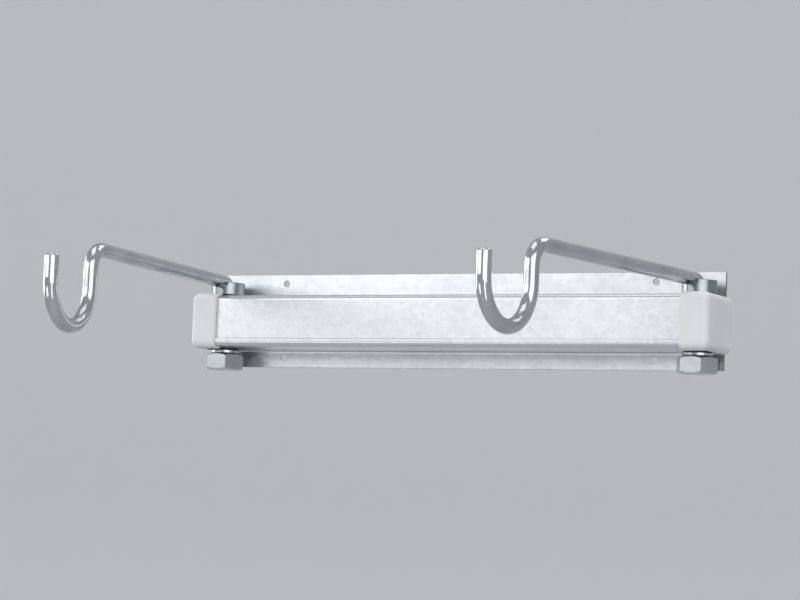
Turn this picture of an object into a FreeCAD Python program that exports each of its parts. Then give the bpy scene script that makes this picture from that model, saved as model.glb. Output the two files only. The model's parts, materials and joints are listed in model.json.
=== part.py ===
import FreeCAD, Part
import math
import os

# Wall bike hanger: a folded wall rail with a swing arm pivoted upright at each end.
# Frame: origin in the middle of the rail's wall face, +X right, +Y into the wall, +Z up, in mm.

# Wall rail, a folded sheet of hat section
sheet = 2.5
rail_length = 486.0
upper_flange = 23.0
body_height = 46.0
lower_flange = 15.0
body_depth = 53.0
bend_inside = 2.0
bead_step = 2.0
bead_inside = 2.0
bead_round_share = 0.3

# Wall screw holes in the two flanges
screw_hole_d = 6.5
screw_spacing = 360.0
screw_edge = 8.0

# Swing pivot, upright through both walls of the rail
pivot_inset = 15.0
pivot_depth = 25.0
running_clearance = 0.05
fit_clearance = 0.05

# Arm bar and its cradle
bar_d = 12.0
toe_in = 6.2
top_bend_inside = 4.0
arm_bend_inside = 12.0
cradle_inside = 29.0
cradle_reach = 315.0
cradle_neck = 14.5
tip_leg = 20.0
tip_flat = 7.0
shank_chamfer = 1.0

# Bushes and distance tube
bush_wall = 2.0
bush_flange_out = 4.0
bush_flange = 2.0
bush_length = 14.0
tube_wall = 3.0

# Pieces on the arm's shank
collar_d = 30.0
collar_height = 11.5
edge_chamfer = 0.6
washer_d = 26.0
washer_thick = 2.5
washer_chamfer = 0.3
spring_d = 24.0
spring_thick = 0.8
spring_rise = 0.5
nut_flats = 32.0
nut_height = 13.5
nut_chamfer_deg = 30.0
ring_wall = 3.0
ring_height = 3.0

# End caps
cap_plate = 5.0
cap_wall = 1.6
cap_lip = 20.0
cap_grip = 11.0
cap_fit = 0.1
tongue_length = 10.0
tongue_thick = 2.0
tongue_margin = 5.0

# Places worked out from the sizes above
bar_r = bar_d / 2
rail_half = rail_length / 2
rail_top = (upper_flange + body_height + lower_flange) / 2
rail_bottom = -rail_top
body_top = rail_top - upper_flange
body_bottom = rail_bottom + lower_flange
bend_outside = bend_inside + sheet
bead_top = body_bottom + 2 * sheet + bead_inside
bead_depth = body_depth + bead_step
bead_round = bead_round_share * min(bead_step, bead_inside)
screw_row = rail_top - screw_edge
pivot_x = rail_half - pivot_inset
bush_bore_r = bar_r + running_clearance
bush_r = bush_bore_r + bush_wall
bush_flange_r = bush_r + bush_flange_out
seat_r = bush_r + fit_clearance
shank_bore_r = bar_r + fit_clearance
top_bend = top_bend_inside + bar_r
arm_bend = arm_bend_inside + bar_r
cradle_radius = cradle_inside + bar_r
collar_bottom = body_top + bush_flange
collar_top = collar_bottom + collar_height
arm_height = collar_top
cradle_height = arm_height - arm_bend - cradle_neck
tip_height = cradle_height + tip_leg
tip_round = bar_r - tip_flat / 2
washer_top = body_bottom - bush_flange
spring_top = washer_top - washer_thick
nut_top = spring_top - spring_thick - spring_rise
nut_bottom = nut_top - nut_height
ring_r = bar_r + ring_wall
cap_round = cap_wall + bend_outside


def vec(x, y, z):
    return FreeCAD.Vector(x, y, z)


def rounded_edges(corners, closed):
    """Lines and tangent arcs through corners given as (point, radius)."""
    count = len(corners)
    turns = []
    for i, (point, radius) in enumerate(corners):
        at_end = not closed and i in (0, count - 1)
        if at_end or radius == 0:
            turns.append((point, None, point))
            continue
        back = (corners[i - 1][0] - point).normalize()
        ahead = (corners[(i + 1) % count][0] - point).normalize()
        half = back.getAngle(ahead) / 2
        inward = (back + ahead).normalize()
        centre = point + inward * (radius / math.sin(half))
        trim = radius / math.tan(half)
        turns.append((point + back * trim, centre - inward * radius, point + ahead * trim))
    edges = []
    for i, (start, middle, end) in enumerate(turns):
        if i > 0 or closed:
            edges.append(Part.LineSegment(turns[i - 1][2], start).toShape())
        if middle is not None:
            edges.append(Part.Arc(start, middle, end).toShape())
    return edges


def prism_along_x(outline, x_from, x_to):
    """Extrude an outline of (y, z, radius) corners from x_from to x_to."""
    corners = [(vec(x_from, y, z), radius) for y, z, radius in outline]
    face = Part.Face(Part.Wire(rounded_edges(corners, True)))
    return face.extrude(vec(x_to - x_from, 0, 0))


def box_between(low, high):
    return Part.makeBox(high[0] - low[0], high[1] - low[1], high[2] - low[2], vec(*low))


def turned(outline, side):
    """Revolve an outline of (radius, z) points about the pivot on that side."""
    points = [vec(side * pivot_x + r, -pivot_depth, z) for r, z in outline]
    face = Part.Face(Part.makePolygon(points + [points[0]]))
    return face.revolve(vec(side * pivot_x, -pivot_depth, 0), vec(0, 0, 1), 360)


def round_post(radius, z_from, z_to, side):
    return Part.makeCylinder(radius, z_to - z_from, vec(side * pivot_x, -pivot_depth, z_from))


def plain_ring(inner, outer, z_from, z_to, side):
    return round_post(outer, z_from, z_to, side).cut(round_post(inner, z_from, z_to, side))


def chamfered_ring(inner, outer, z_from, z_to, side, chamfer):
    """A turned ring with its outer edges chamfered."""
    outline = [(inner, z_from), (outer - chamfer, z_from), (outer, z_from + chamfer),
               (outer, z_to - chamfer), (outer - chamfer, z_to), (inner, z_to)]
    return turned(outline, side)


def end_edge(shape, point):
    """The circular edge whose centre is nearest to a point."""
    return min(shape.Edges, key=lambda edge: (edge.CenterOfMass - point).Length)


def body_front(grow):
    """Front outline of the rail's body, from its top at the wall to its bottom, grown outwards."""
    return [(0, body_top + grow, 0),
            (-body_depth - grow, body_top + grow, bend_outside + grow),
            (-body_depth - grow, bead_top + grow, bead_round),
            (-bead_depth - grow, bead_top + grow, bead_round),
            (-bead_depth - grow, body_bottom - grow, bend_outside + grow),
            (0, body_bottom - grow, 0)]


def wall_rail():
    section = [(0, rail_top, 0), (-sheet, rail_top, 0), (-sheet, body_top, bend_inside)]
    section += body_front(0)[1:-1]
    section += [(-sheet, body_bottom, bend_inside), (-sheet, rail_bottom, 0), (0, rail_bottom, 0),
                (0, body_bottom + sheet, bend_outside),
                (-bead_depth + sheet, body_bottom + sheet, bead_round),
                (-bead_depth + sheet, bead_top - sheet, bead_round),
                (-body_depth + sheet, bead_top - sheet, bead_round),
                (-body_depth + sheet, body_top - sheet, bend_inside),
                (0, body_top - sheet, bend_outside)]
    rail = prism_along_x(section, -rail_half, rail_half)
    holes = []
    for x in (-screw_spacing / 2, screw_spacing / 2):
        for z in (-screw_row, screw_row):
            start = vec(x, sheet / 2, z)
            holes.append(Part.makeCylinder(screw_hole_d / 2, 2 * sheet, start, vec(0, -1, 0)))
    for side in (-1, 1):
        holes.append(round_post(seat_r, body_bottom - sheet, body_top + sheet, side))
    return rail.cut(holes)


def end_cap(side):
    """Moulded cap over the rail's open end: a rounded end plate, a front grip and a clip tongue."""
    cap_end = rail_half + cap_plate
    lip_from = rail_half - cap_lip
    front = -bead_depth - cap_wall
    low = body_bottom - cap_wall
    high = body_top + cap_wall
    block = box_between((lip_from, front, low), (cap_end, 0, high))
    corner_edges = []
    for edge in block.Edges:
        if edge.BoundBox.XMax > rail_half and edge.BoundBox.YMin < -bead_depth:
            corner_edges.append(edge)
    cap = block.makeFillet(cap_round, corner_edges)
    inside = prism_along_x(body_front(cap_fit), lip_from - cap_lip, rail_half)
    open_back = box_between((lip_from - cap_lip, -bead_depth + cap_grip, low - cap_wall),
                            (rail_half, sheet, high + cap_wall))
    cap = cap.cut([inside, open_back])
    tongue_front = -body_depth + sheet + cap_fit
    tongue = box_between((rail_half - tongue_length, tongue_front, bead_top + tongue_margin),
                         (rail_half, tongue_front + tongue_thick, body_top - sheet - tongue_margin))
    cap = cap.fuse(tongue).removeSplitter()
    if side < 0:
        cap = cap.mirror(vec(0, 0, 0), vec(1, 0, 0))
    return cap


def distance_tube(side):
    return plain_ring(seat_r, seat_r + tube_wall, body_bottom + sheet, body_top - sheet, side)


def flanged_bush(side, seat, outward):
    """Bush whose flange lies on the rail's wall at height seat, on the side named by outward."""
    flange_end = seat + outward * bush_flange
    sleeve_end = seat - outward * bush_length
    outline = [(bush_bore_r, flange_end), (bush_flange_r - edge_chamfer, flange_end),
               (bush_flange_r, flange_end - outward * edge_chamfer), (bush_flange_r, seat),
               (bush_r, seat), (bush_r, sleeve_end), (bush_bore_r, sleeve_end)]
    return turned(outline, side)


def arm_point(side, reach, z):
    """A point in the arm's own upright plane, at a reach from the pivot."""
    lean = math.radians(toe_in)
    x = pivot_x - reach * math.sin(lean)
    return vec(side * x, -pivot_depth - reach * math.cos(lean), z)


def swept_round(radius, path):
    """Sweep a circle along joined edges of which the first runs straight up."""
    circle = Part.Wire(Part.makeCircle(radius, path[0].Vertexes[0].Point, vec(0, 0, 1)))
    return Part.Wire(path).makePipeShell([circle], True, False)


def arm_bar(side):
    """Round bar: an upright shank, the arm, and a cradle in the arm's own upright plane."""

    def place(reach, z):
        return arm_point(side, reach, z)

    far = cradle_reach - cradle_radius
    near = cradle_reach + cradle_radius
    low = cradle_height - cradle_radius
    slant = cradle_radius * math.sqrt(0.5)
    path = rounded_edges([(place(0, nut_bottom), 0), (place(0, arm_height), top_bend),
                          (place(far, arm_height), arm_bend), (place(far, cradle_height), 0)], False)
    path.append(Part.Arc(place(far, cradle_height), place(cradle_reach - slant, cradle_height - slant),
                         place(cradle_reach, low)).toShape())
    path.append(Part.Arc(place(cradle_reach, low), place(cradle_reach + slant, cradle_height - slant),
                         place(near, cradle_height)).toShape())
    path.append(Part.LineSegment(place(near, cradle_height), place(near, tip_height)).toShape())
    bar = swept_round(bar_r, path)
    bar = bar.makeFillet(tip_round, [end_edge(bar, place(near, tip_height))])
    return bar.makeChamfer(shank_chamfer, [end_edge(bar, place(0, nut_bottom))])


def thrust_collar(side):
    """Turned collar with a half-round groove in its top, in which the bar lies as it leaves its bend."""
    bore_r = shank_bore_r + fit_clearance
    collar = chamfered_ring(bore_r, collar_d / 2, collar_bottom, collar_top, side, edge_chamfer)
    path = rounded_edges([(arm_point(side, 0, body_bottom), 0), (arm_point(side, 0, arm_height), top_bend),
                          (arm_point(side, collar_d, arm_height), 0)], False)
    return collar.cut(swept_round(shank_bore_r, path))


def plain_washer(side):
    return chamfered_ring(shank_bore_r, washer_d / 2, spring_top, washer_top, side, washer_chamfer)


def disc_spring(side):
    """Coned spring washer, its outer rim up against the plain washer."""
    outline = [(shank_bore_r, nut_top), (spring_d / 2, nut_top + spring_rise),
               (spring_d / 2, spring_top), (shank_bore_r, spring_top - spring_rise)]
    return turned(outline, side)


def lock_nut(side):
    """Hexagon nut with chamfered corners and a recess below for its plastic ring."""
    corner_r = nut_flats / math.sqrt(3)
    corners = []
    for i in range(6):
        angle = math.radians(60 * i)
        x = side * pivot_x + corner_r * math.cos(angle)
        corners.append(vec(x, -pivot_depth + corner_r * math.sin(angle), nut_bottom))
    nut = Part.Face(Part.makePolygon(corners + [corners[0]])).extrude(vec(0, 0, nut_height))
    slope = math.tan(math.radians(nut_chamfer_deg))
    drop = (corner_r - nut_flats / 2) * slope
    blank = turned([(0, nut_bottom), (nut_flats / 2, nut_bottom), (corner_r, nut_bottom + drop),
                    (corner_r, nut_top - drop), (nut_flats / 2, nut_top), (0, nut_top)], side)
    bore = round_post(shank_bore_r, nut_bottom, nut_top, side)
    recess = round_post(ring_r, nut_bottom, nut_bottom + ring_height, side)
    return nut.common(blank).cut([bore, recess])


def lock_ring(side):
    outer = ring_r - fit_clearance
    return plain_ring(shank_bore_r, outer, nut_bottom, nut_bottom + ring_height, side)


pieces = {"wall_rail": wall_rail()}
for name, side in (("left", -1), ("right", 1)):
    pieces[name + "_end_cap"] = end_cap(side)
    pieces[name + "_distance_tube"] = distance_tube(side)
    pieces[name + "_upper_bush"] = flanged_bush(side, body_top, 1)
    pieces[name + "_lower_bush"] = flanged_bush(side, body_bottom, -1)
    pieces[name + "_arm_bar"] = arm_bar(side)
    pieces[name + "_thrust_collar"] = thrust_collar(side)
    pieces[name + "_plain_washer"] = plain_washer(side)
    pieces[name + "_disc_spring"] = disc_spring(side)
    pieces[name + "_lock_nut"] = lock_nut(side)
    pieces[name + "_lock_ring"] = lock_ring(side)

os.makedirs("parts", exist_ok=True)
for node, shape in pieces.items():
    shape.exportStep("parts/" + node + ".step")
    print(node, "solids", len(shape.Solids), "valid", shape.isValid(), "volume", round(shape.Volume, 1))
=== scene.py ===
import bpy
import json
import math
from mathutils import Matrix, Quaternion, Vector


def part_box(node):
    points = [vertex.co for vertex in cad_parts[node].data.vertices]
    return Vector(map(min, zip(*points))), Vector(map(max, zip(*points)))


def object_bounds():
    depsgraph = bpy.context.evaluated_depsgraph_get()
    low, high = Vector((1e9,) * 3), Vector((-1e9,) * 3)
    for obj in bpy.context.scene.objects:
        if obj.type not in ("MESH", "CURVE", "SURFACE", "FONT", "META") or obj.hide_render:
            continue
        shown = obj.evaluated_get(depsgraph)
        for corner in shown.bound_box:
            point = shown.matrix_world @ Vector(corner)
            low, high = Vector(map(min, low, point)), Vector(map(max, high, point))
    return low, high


# Wall bike hanger: galvanised wall rail, plated swing arms, moulded end caps.
# Everything is in metres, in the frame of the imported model.

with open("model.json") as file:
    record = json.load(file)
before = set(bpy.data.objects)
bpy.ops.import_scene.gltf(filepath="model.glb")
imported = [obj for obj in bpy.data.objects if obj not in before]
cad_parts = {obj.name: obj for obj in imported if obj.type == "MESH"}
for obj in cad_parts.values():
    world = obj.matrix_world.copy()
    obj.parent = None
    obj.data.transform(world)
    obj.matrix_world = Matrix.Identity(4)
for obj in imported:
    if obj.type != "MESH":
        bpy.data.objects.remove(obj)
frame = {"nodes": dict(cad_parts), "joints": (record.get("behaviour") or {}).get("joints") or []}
cadLow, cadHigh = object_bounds()
nodes = frame["nodes"]
mm = 0.001
pivots = {joint["child"]: Vector(joint["pos_m"]) for joint in frame["joints"]}
pivotAcross = abs(pivots["right_arm"].x)   # both pivots, from the middle
pivotOut = abs(pivots["right_arm"].y)      # both pivots, from the wall
print("frame loaded:", len(nodes), "nodes")


def toLinear(hexColour):   # the standard sRGB curve
    parts = [int(hexColour[i:i + 2], 16) / 255 for i in (1, 3, 5)]
    linear = [p / 12.92 if p <= 0.04045 else ((p + 0.055) / 1.055) ** 2.4 for p in parts]
    return (*linear, 1.0)


def addNode(tree, kind, values=None, links=None, **settings):
    node = tree.nodes.new(kind)
    for name, value in settings.items():
        setattr(node, name, value)
    for key, value in (values or {}).items():
        node.inputs[key].default_value = value
    for key, socket in (links or {}).items():
        tree.links.new(socket, node.inputs[key])
    return node


wavesPerScale = 20 / (2 * math.pi)   # what the wave texture makes per unit of its scale


def waveScale(spacingMm):
    return 1 / (spacingMm * mm) / wavesPerScale


def startMaterial(name, metallic, roughness):
    material = bpy.data.materials.new(name)
    material.use_nodes = True
    tree = material.node_tree
    shader = tree.nodes["Principled BSDF"]
    shader.inputs["Metallic"].default_value = metallic
    shader.inputs["Roughness"].default_value = roughness
    place = addNode(tree, "ShaderNodeTexCoord").outputs["Object"]
    return material, tree, shader, place


def dress(material, *names):
    for name in names:
        for slot in nodes[name].material_slots:
            slot.material = material


def bothSides(*kinds):
    return [side + "_" + kind for side in ("left", "right") for kind in kinds]


# Hot-dip galvanised sheet, skin passed and folded: pale grey, soft cloudy spangle,
# faint rolling lines along the rail, darker bare steel where the sheet was sheared.
zincSheet = {
    "pale": "#DADDDF", "dull": "#C2C7CB", "bare": "#85898D",
    "spangleMm": 4.0, "spangleShare": 0.5, "cloudMm": 80.0,
    "dullFrom": 0.1, "dullTo": 1.4,         # sum of spangle and cloud, from all pale to all dull
    "rollMm": 1.2, "rollLengthMm": 140.0,   # real lines are near 0.1 mm, drawn coarser to show
    "rollHeight": 0.006 * mm, "rollStrength": 0.3,
    "roughBright": 0.28, "roughDull": 0.38,
    "shear": 0.15 * mm,
}


def makeZincSheet():
    z = zincSheet
    material, tree, shader, place = startMaterial("galvanisedSheet", 1.0, z["roughDull"])
    spangle = addNode(tree, "ShaderNodeTexVoronoi", {"Scale": 1 / (z["spangleMm"] * mm)},
                      {"Vector": place})
    grains = addNode(tree, "ShaderNodeSeparateColor", links={"Color": spangle.outputs["Color"]})
    cloud = addNode(tree, "ShaderNodeTexNoise", {"Scale": 1 / (z["cloudMm"] * mm), "Detail": 4.0},
                    {"Vector": place})
    dullness = addNode(tree, "ShaderNodeMath", {1: z["spangleShare"]},
                       {0: grains.outputs["Red"], 2: cloud.outputs["Fac"]}, operation="MULTIPLY_ADD")
    spread = addNode(tree, "ShaderNodeMapRange", {"From Min": z["dullFrom"], "From Max": z["dullTo"]},
                     {"Value": dullness.outputs[0]})
    tone = addNode(tree, "ShaderNodeMixRGB",
                   {"Color1": toLinear(z["pale"]), "Color2": toLinear(z["dull"])},
                   {"Fac": spread.outputs["Result"]})
    # sheared edges: the two flange edges and the two rail ends
    reach = addNode(tree, "ShaderNodeVectorMath", links={0: place}, operation="ABSOLUTE")
    axes = addNode(tree, "ShaderNodeSeparateXYZ", links={"Vector": reach.outputs["Vector"]})
    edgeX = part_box("wall_rail")[1].x - z["shear"]
    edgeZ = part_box("wall_rail")[1].z - z["shear"]
    pastX = addNode(tree, "ShaderNodeMath", {1: edgeX}, {0: axes.outputs["X"]},
                    operation="GREATER_THAN")
    pastZ = addNode(tree, "ShaderNodeMath", {1: edgeZ}, {0: axes.outputs["Z"]},
                    operation="GREATER_THAN")
    sheared = addNode(tree, "ShaderNodeMath", links={0: pastX.outputs[0], 1: pastZ.outputs[0]},
                      operation="MAXIMUM")
    colour = addNode(tree, "ShaderNodeMixRGB", {"Color2": toLinear(z["bare"])},
                     {"Fac": sheared.outputs[0], "Color1": tone.outputs["Color"]})
    rough = addNode(tree, "ShaderNodeMapRange", {"To Min": z["roughBright"], "To Max": z["roughDull"]},
                    {"Value": spread.outputs["Result"]})
    along = addNode(tree, "ShaderNodeMapping", links={"Vector": place})
    along.inputs["Scale"].default_value = (1 / (z["rollLengthMm"] * mm), 1 / (z["rollMm"] * mm),
                                           1 / (z["rollMm"] * mm))
    lines = addNode(tree, "ShaderNodeTexNoise", {"Scale": 1.0, "Detail": 2.0},
                    {"Vector": along.outputs["Vector"]})
    bump = addNode(tree, "ShaderNodeBump", {"Strength": z["rollStrength"], "Distance": z["rollHeight"]},
                   {"Height": lines.outputs["Fac"]})
    tree.links.new(colour.outputs["Color"], shader.inputs["Base Color"])
    tree.links.new(rough.outputs["Result"], shader.inputs["Roughness"])
    tree.links.new(bump.outputs["Normal"], shader.inputs["Normal"])
    return material


# Bright zinc plating over cold-drawn bar: mirror-like silver with a cool cast, slight
# plating clouds, fine pits, a dull rubbed patch inside each cradle and a thread in the nut.
platedBar = {
    "bright": "#C1C4C8", "cloudy": "#ABB0B5", "rubbed": "#8A8C8E",
    "cloudMm": 28.0, "cloudFrom": 0.35, "cloudTo": 0.75,   # noise, from bright to cloudy
    "pitMm": 1.6, "pitHeight": 0.006 * mm, "pitStrength": 0.12,
    "roughBright": 0.10, "roughCloudy": 0.18, "roughRubbed": 0.40,
    "barRadius": 6 * mm, "cradleRadius": 35 * mm, "cradleHeight": 0 * mm,
    "rubStart": 13 * mm, "rubFull": 28 * mm,               # below the cradle's centre
    "rubBreakMm": 2.5, "breakFrom": 0.38, "breakTo": 0.62,   # noise, from plating to rubbed
    "threadPitchMm": 1.75, "threadDepth": 1.0 * mm,
}


def makePlatedBar():
    p = platedBar
    material, tree, shader, place = startMaterial("brightPlatedBar", 1.0, p["roughBright"])
    cloud = addNode(tree, "ShaderNodeTexNoise", {"Scale": 1 / (p["cloudMm"] * mm), "Detail": 5.0},
                    {"Vector": place})
    spread = addNode(tree, "ShaderNodeMapRange", {"From Min": p["cloudFrom"], "From Max": p["cloudTo"]},
                     {"Value": cloud.outputs["Fac"]})
    tone = addNode(tree, "ShaderNodeMixRGB",
                   {"Color1": toLinear(p["bright"]), "Color2": toLinear(p["cloudy"])},
                   {"Fac": spread.outputs["Result"]})
    rough = addNode(tree, "ShaderNodeMapRange", {"To Min": p["roughBright"], "To Max": p["roughCloudy"]},
                    {"Value": spread.outputs["Result"]})
    pits = addNode(tree, "ShaderNodeTexNoise", {"Scale": 1 / (p["pitMm"] * mm), "Detail": 2.0},
                   {"Vector": place})
    bump = addNode(tree, "ShaderNodeBump", {"Strength": p["pitStrength"], "Distance": p["pitHeight"]},
                   {"Height": pits.outputs["Fac"]})
    # rubbed patch: the inner half of the bar, low in the cradle, broken up by noise
    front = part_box("right_arm_bar")[0].y
    centre = (0, front + p["barRadius"] + p["cradleRadius"], p["cradleHeight"])
    offset = addNode(tree, "ShaderNodeVectorMath", {1: centre}, {0: place}, operation="SUBTRACT")
    inPlane = addNode(tree, "ShaderNodeVectorMath", {1: (0, 1, 1)}, {0: offset.outputs["Vector"]},
                      operation="MULTIPLY")
    radius = addNode(tree, "ShaderNodeVectorMath", links={0: inPlane.outputs["Vector"]},
                     operation="LENGTH")
    inner = addNode(tree, "ShaderNodeMapRange",
                    {"From Min": p["cradleRadius"], "From Max": p["cradleRadius"] - p["barRadius"]},
                    {"Value": radius.outputs["Value"]})
    height = addNode(tree, "ShaderNodeSeparateXYZ", links={"Vector": offset.outputs["Vector"]})
    depth = addNode(tree, "ShaderNodeMapRange", {"From Min": -p["rubStart"], "From Max": -p["rubFull"]},
                    {"Value": height.outputs["Z"]})
    patch = addNode(tree, "ShaderNodeMath", links={0: inner.outputs["Result"], 1: depth.outputs["Result"]},
                    operation="MULTIPLY")
    flecks = addNode(tree, "ShaderNodeTexNoise", {"Scale": 1 / (p["rubBreakMm"] * mm), "Detail": 4.0},
                     {"Vector": place})
    broken = addNode(tree, "ShaderNodeMapRange", {"From Min": p["breakFrom"], "From Max": p["breakTo"]},
                     {"Value": flecks.outputs["Fac"]})
    rubbed = addNode(tree, "ShaderNodeMath", links={0: patch.outputs[0], 1: broken.outputs["Result"]},
                     operation="MULTIPLY")
    # thread: on the shank alone, from the top of the nut down
    axes = addNode(tree, "ShaderNodeSeparateXYZ", links={"Vector": place})
    inNut = addNode(tree, "ShaderNodeMath", {1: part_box("right_lock_nut")[1].z}, {0: axes.outputs["Z"]},
                    operation="LESS_THAN")
    onShank = addNode(tree, "ShaderNodeMath", {1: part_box("right_lock_nut")[0].y}, {0: axes.outputs["Y"]},
                      operation="GREATER_THAN")
    threaded = addNode(tree, "ShaderNodeMath", links={0: inNut.outputs[0], 1: onShank.outputs[0]},
                       operation="MULTIPLY")
    turns = addNode(tree, "ShaderNodeTexWave", {"Scale": waveScale(p["threadPitchMm"])}, {"Vector": place},
                    wave_type="BANDS", bands_direction="Z")
    ridges = addNode(tree, "ShaderNodeMath", links={0: threaded.outputs[0], 1: turns.outputs["Fac"]},
                     operation="MULTIPLY")
    thread = addNode(tree, "ShaderNodeBump", {"Distance": p["threadDepth"]},
                     {"Height": ridges.outputs[0], "Normal": bump.outputs["Normal"]})
    worn = addNode(tree, "ShaderNodeMixRGB", {"Color2": toLinear(p["rubbed"])},
                   {"Fac": rubbed.outputs[0], "Color1": tone.outputs["Color"]})
    wornRough = addNode(tree, "ShaderNodeMapRange", {"To Max": p["roughRubbed"]},
                        {"Value": rubbed.outputs[0], "To Min": rough.outputs["Result"]})
    tree.links.new(worn.outputs["Color"], shader.inputs["Base Color"])
    tree.links.new(wornRough.outputs["Result"], shader.inputs["Roughness"])
    tree.links.new(thread.outputs["Normal"], shader.inputs["Normal"])
    return material


# Turned steel, zinc plated: satin silver with fine rings left by the lathe tool.
turnedSteel = {
    "pale": "#C6CACD", "dull": "#A9AFB3",
    "ringMm": 0.7,                         # real feed marks are near 0.2 mm, drawn coarser to show
    "ringHeight": 0.01 * mm, "ringStrength": 0.3, "ringWaver": 0.4, "cloudMm": 12.0,
    "roughBright": 0.20, "roughDull": 0.30,
}
# The collars are turned alike, and passivated to a darker grey.
collarSteel = dict(turnedSteel, pale="#9DA3A5", dull="#838A8C")


def makeTurnedSteel(name, t):
    material, tree, shader, place = startMaterial(name, 1.0, t["roughDull"])
    reach = addNode(tree, "ShaderNodeVectorMath", links={0: place}, operation="ABSOLUTE")
    fromPivot = addNode(tree, "ShaderNodeVectorMath", {1: (pivotAcross, pivotOut, 0)},
                        {0: reach.outputs["Vector"]}, operation="SUBTRACT")
    rings = addNode(tree, "ShaderNodeTexWave",
                    {"Scale": waveScale(t["ringMm"]), "Distortion": t["ringWaver"]},
                    {"Vector": fromPivot.outputs["Vector"]}, wave_type="RINGS", rings_direction="Z")
    cloud = addNode(tree, "ShaderNodeTexNoise", {"Scale": 1 / (t["cloudMm"] * mm), "Detail": 4.0},
                    {"Vector": place})
    tone = addNode(tree, "ShaderNodeMixRGB",
                   {"Color1": toLinear(t["pale"]), "Color2": toLinear(t["dull"])},
                   {"Fac": cloud.outputs["Fac"]})
    rough = addNode(tree, "ShaderNodeMapRange", {"To Min": t["roughBright"], "To Max": t["roughDull"]},
                    {"Value": cloud.outputs["Fac"]})
    bump = addNode(tree, "ShaderNodeBump", {"Strength": t["ringStrength"], "Distance": t["ringHeight"]},
                   {"Height": rings.outputs["Fac"]})
    tree.links.new(tone.outputs["Color"], shader.inputs["Base Color"])
    tree.links.new(rough.outputs["Result"], shader.inputs["Roughness"])
    tree.links.new(bump.outputs["Normal"], shader.inputs["Normal"])
    return material


# Tempered spring steel, oiled: dark grey with a dull straw and blue cast.
springSteel = {"dark": "#4B4E53", "cast": "#5E5A52", "castMm": 5.0, "rough": 0.34}


def makeSpringSteel():
    s = springSteel
    material, tree, shader, place = startMaterial("temperedSpringSteel", 1.0, s["rough"])
    cast = addNode(tree, "ShaderNodeTexNoise", {"Scale": 1 / (s["castMm"] * mm), "Detail": 3.0},
                   {"Vector": place})
    tone = addNode(tree, "ShaderNodeMixRGB",
                   {"Color1": toLinear(s["dark"]), "Color2": toLinear(s["cast"])},
                   {"Fac": cast.outputs["Fac"]})
    tree.links.new(tone.outputs["Color"], shader.inputs["Base Color"])
    return material


# Moulded polypropylene in off-white: matt from a spark-eroded mould, with slight flow clouds.
capPlastic = {
    "pale": "#F1F2F1", "shade": "#E7E9E9", "flowMm": 30.0,
    "grainMm": 0.8,                        # real grain is near 0.1 mm, drawn coarser to show
    "grainHeight": 0.03 * mm, "grainStrength": 0.3,
    "roughLow": 0.42, "roughHigh": 0.56, "ior": 1.49,
}


def makeCapPlastic():
    c = capPlastic
    material, tree, shader, place = startMaterial("mouldedPolypropylene", 0.0, c["roughHigh"])
    shader.inputs["IOR"].default_value = c["ior"]
    flow = addNode(tree, "ShaderNodeTexNoise", {"Scale": 1 / (c["flowMm"] * mm), "Detail": 3.0},
                   {"Vector": place})
    tone = addNode(tree, "ShaderNodeMixRGB",
                   {"Color1": toLinear(c["pale"]), "Color2": toLinear(c["shade"])},
                   {"Fac": flow.outputs["Fac"]})
    grain = addNode(tree, "ShaderNodeTexNoise", {"Scale": 1 / (c["grainMm"] * mm), "Detail": 3.0},
                    {"Vector": place})
    rough = addNode(tree, "ShaderNodeMapRange", {"To Min": c["roughLow"], "To Max": c["roughHigh"]},
                    {"Value": grain.outputs["Fac"]})
    bump = addNode(tree, "ShaderNodeBump", {"Strength": c["grainStrength"], "Distance": c["grainHeight"]},
                   {"Height": grain.outputs["Fac"]})
    tree.links.new(tone.outputs["Color"], shader.inputs["Base Color"])
    tree.links.new(rough.outputs["Result"], shader.inputs["Roughness"])
    tree.links.new(bump.outputs["Normal"], shader.inputs["Normal"])
    return material


# Acetal, moulded smooth and black: a low waxy sheen.
bushPlastic = {
    "black": "#1F2022", "worn": "#2B2C2E", "wearMm": 4.0,
    "roughLow": 0.30, "roughHigh": 0.44,
}


def makeBushPlastic():
    b = bushPlastic
    material, tree, shader, place = startMaterial("blackAcetal", 0.0, b["roughHigh"])
    wear = addNode(tree, "ShaderNodeTexNoise", {"Scale": 1 / (b["wearMm"] * mm), "Detail": 3.0},
                   {"Vector": place})
    tone = addNode(tree, "ShaderNodeMixRGB",
                   {"Color1": toLinear(b["black"]), "Color2": toLinear(b["worn"])},
                   {"Fac": wear.outputs["Fac"]})
    rough = addNode(tree, "ShaderNodeMapRange", {"To Min": b["roughLow"], "To Max": b["roughHigh"]},
                    {"Value": wear.outputs["Fac"]})
    tree.links.new(tone.outputs["Color"], shader.inputs["Base Color"])
    tree.links.new(rough.outputs["Result"], shader.inputs["Roughness"])
    return material


# Nylon, moulded in its natural white: slightly creamy and waxy.
ringPlastic = {"white": "#ECE9DF", "cream": "#E0DCCF", "flowMm": 6.0, "rough": 0.38}


def makeRingPlastic():
    r = ringPlastic
    material, tree, shader, place = startMaterial("naturalNylon", 0.0, r["rough"])
    flow = addNode(tree, "ShaderNodeTexNoise", {"Scale": 1 / (r["flowMm"] * mm), "Detail": 2.0},
                   {"Vector": place})
    tone = addNode(tree, "ShaderNodeMixRGB",
                   {"Color1": toLinear(r["white"]), "Color2": toLinear(r["cream"])},
                   {"Fac": flow.outputs["Fac"]})
    tree.links.new(tone.outputs["Color"], shader.inputs["Base Color"])
    return material


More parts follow.
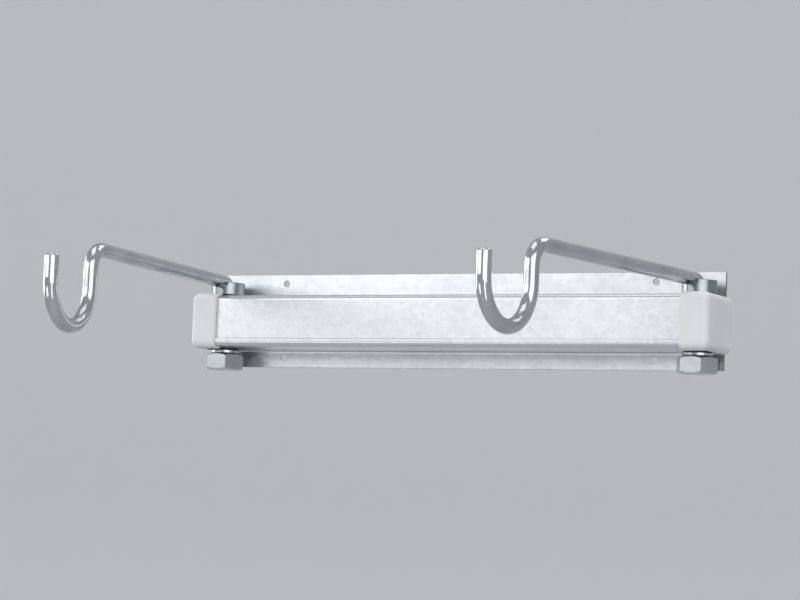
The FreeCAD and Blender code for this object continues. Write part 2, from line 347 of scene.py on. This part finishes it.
dress(makeZincSheet(), "wall_rail")
dress(makePlatedBar(), *bothSides("arm_bar"))
dress(makeTurnedSteel("turnedZincSteel", turnedSteel),
      *bothSides("plain_washer", "lock_nut", "distance_tube"))
dress(makeTurnedSteel("passivatedCollarSteel", collarSteel), *bothSides("thrust_collar"))
dress(makeSpringSteel(), *bothSides("disc_spring"))
dress(makeCapPlastic(), *bothSides("end_cap"))
dress(makeBushPlastic(), *bothSides("upper_bush", "lower_bush"))
dress(makeRingPlastic(), *bothSides("lock_ring"))
print("finishes on all nodes")


# Plain studio: a pale floor that curves up all round, and soft lamps. The two low strips
# carry the highlights down the hooks and along the lower bend of the rail.
studio = {
    "floorDrop": 1.9,                         # such hangers hang about head high
    "flatRadius": 8.0, "bendRadius": 2.0, "rimHeight": 8.2,
    "bendSteps": 16, "turnSteps": 96, "paper": "#BABCBF", "paperRough": 0.9,
    # The glow is weaker near the hanger than far off: painted shade on the nearby floor, which darkens the
    # floor seen in the metal undersides.
    "glow": "#E3E4E6", "nearGlow": 0.2, "farGlow": 0.42,   # keeps the backdrop pale
    "glowFrom": 2.2, "glowTo": 5.0,           # distance over which the glow grows, away from the lamps
    "skyColour": "#F8FBFF", "skyStrength": 0.53,           # as pale as the top of the backdrop
    "lamps": {
        "keySoftbox": {"place": (1.9, -2.1, 0.8), "size": (3.0, 2.2), "watts": 36},
        "frontSoftbox": {"place": (-1.5, -2.2, 0.74), "size": (2.4, 1.1), "watts": 16},
        "leftSoftbox": {"place": (-2.6, -0.1, 0.35), "size": (1.4, 1.4), "watts": 20},
        "lowRightStrip": {"place": (1.75, -2.05, -0.7), "size": (0.6, 1.9), "watts": 7},
        "lowLeftStrip": {"place": (-1.1, -2.0, -0.8), "size": (0.9, 0.7), "watts": 3},
        "topSoftbox": {"place": (-0.2, -0.5, 1.9), "size": (1.8, 1.0), "watts": 7},
        "backSoftbox": {"place": (0.8, 1.7, 2.5), "size": (2.0, 1.5), "watts": 13},
    },
}


def makeStudio(aim):
    s = studio
    floorZ = cadLow.z - s["floorDrop"]
    rings = []   # radius and height, from the edge of the flat floor up to the rim
    for i in range(s["bendSteps"] + 1):
        turn = math.pi / 2 * i / s["bendSteps"]
        rings.append((s["flatRadius"] + s["bendRadius"] * math.sin(turn),
                      floorZ + s["bendRadius"] * (1 - math.cos(turn))))
    rings.append((s["flatRadius"] + s["bendRadius"], floorZ + s["rimHeight"]))
    verts = [(0.0, 0.0, floorZ)]
    faces = []
    steps = s["turnSteps"]
    for radius, z in rings:
        for k in range(steps):
            angle = 2 * math.pi * k / steps
            verts.append((radius * math.cos(angle), radius * math.sin(angle), z))
    for k in range(steps):
        after = (k + 1) % steps
        faces.append((0, 1 + k, 1 + after))
        for r in range(len(rings) - 1):
            low = 1 + r * steps
            high = low + steps
            faces.append((low + k, high + k, high + after, low + after))
    mesh = bpy.data.meshes.new("studioCove")
    mesh.from_pydata(verts, [], faces)
    mesh.shade_smooth()
    cove = bpy.data.objects.new("studioCove", mesh)
    bpy.context.scene.collection.objects.link(cove)
    paper, tree, shader, place = startMaterial("backdropPaper", 0.0, s["paperRough"])
    shader.inputs["Base Color"].default_value = toLinear(s["paper"])
    shader.inputs["Emission Color"].default_value = toLinear(s["glow"])
    # the glow shows to the camera and in reflections only
    rays = addNode(tree, "ShaderNodeLightPath")
    seen = rays.outputs["Is Camera Ray"]
    for kind in ("Is Glossy Ray", "Is Transmission Ray"):
        seen = addNode(tree, "ShaderNodeMath", links={0: seen, 1: rays.outputs[kind]},
                       operation="MAXIMUM").outputs[0]
    away = addNode(tree, "ShaderNodeVectorMath", links={0: place}, operation="LENGTH")
    glow = addNode(tree, "ShaderNodeMapRange",
                   {"From Min": s["glowFrom"], "From Max": s["glowTo"],
                    "To Min": s["nearGlow"], "To Max": s["farGlow"]},
                   {"Value": away.outputs["Value"]}, interpolation_type="SMOOTHSTEP")
    lift = addNode(tree, "ShaderNodeMath", links={0: seen, 1: glow.outputs["Result"]},
                   operation="MULTIPLY")
    tree.links.new(lift.outputs[0], shader.inputs["Emission Strength"])
    mesh.materials.append(paper)

    for name, lamp in s["lamps"].items():
        data = bpy.data.lights.new(name, "AREA")
        data.shape = "RECTANGLE"
        data.size, data.size_y = lamp["size"]
        data.energy = lamp["watts"]
        light = bpy.data.objects.new(name, data)
        light.location = lamp["place"]
        light.visible_camera = False
        light.rotation_euler = (aim - light.location).to_track_quat("-Z", "Y").to_euler()
        bpy.context.scene.collection.objects.link(light)

    world = bpy.data.worlds.new("studioSky")
    world.use_nodes = True
    sky = world.node_tree.nodes["Background"]
    sky.inputs["Color"].default_value = toLinear(s["skyColour"])
    sky.inputs["Strength"].default_value = s["skyStrength"]
    bpy.context.scene.world = world


# The photo's camera place, aimed at the hanger with a longer lens; it leans a little.
view = {
    "place": (1.106, -2.328, -0.216), "aim": (0.03, -0.19, 0.0),
    "lensMm": 132.0, "rollDeg": 2.4,
}


def makeCamera():
    data = bpy.data.cameras.new("photoCamera")
    data.lens = view["lensMm"]
    camera = bpy.data.objects.new("photoCamera", data)
    camera.location = view["place"]
    look = (Vector(view["aim"]) - camera.location).to_track_quat("-Z", "Y")
    camera.rotation_mode = "QUATERNION"
    camera.rotation_quaternion = look @ Quaternion((0, 0, 1), math.radians(view["rollDeg"]))
    bpy.context.scene.collection.objects.link(camera)
    bpy.context.scene.camera = camera


makeStudio((cadLow + cadHigh) / 2)
makeCamera()
bpy.context.scene.view_settings.view_transform = "Standard"
print("studio and camera set")
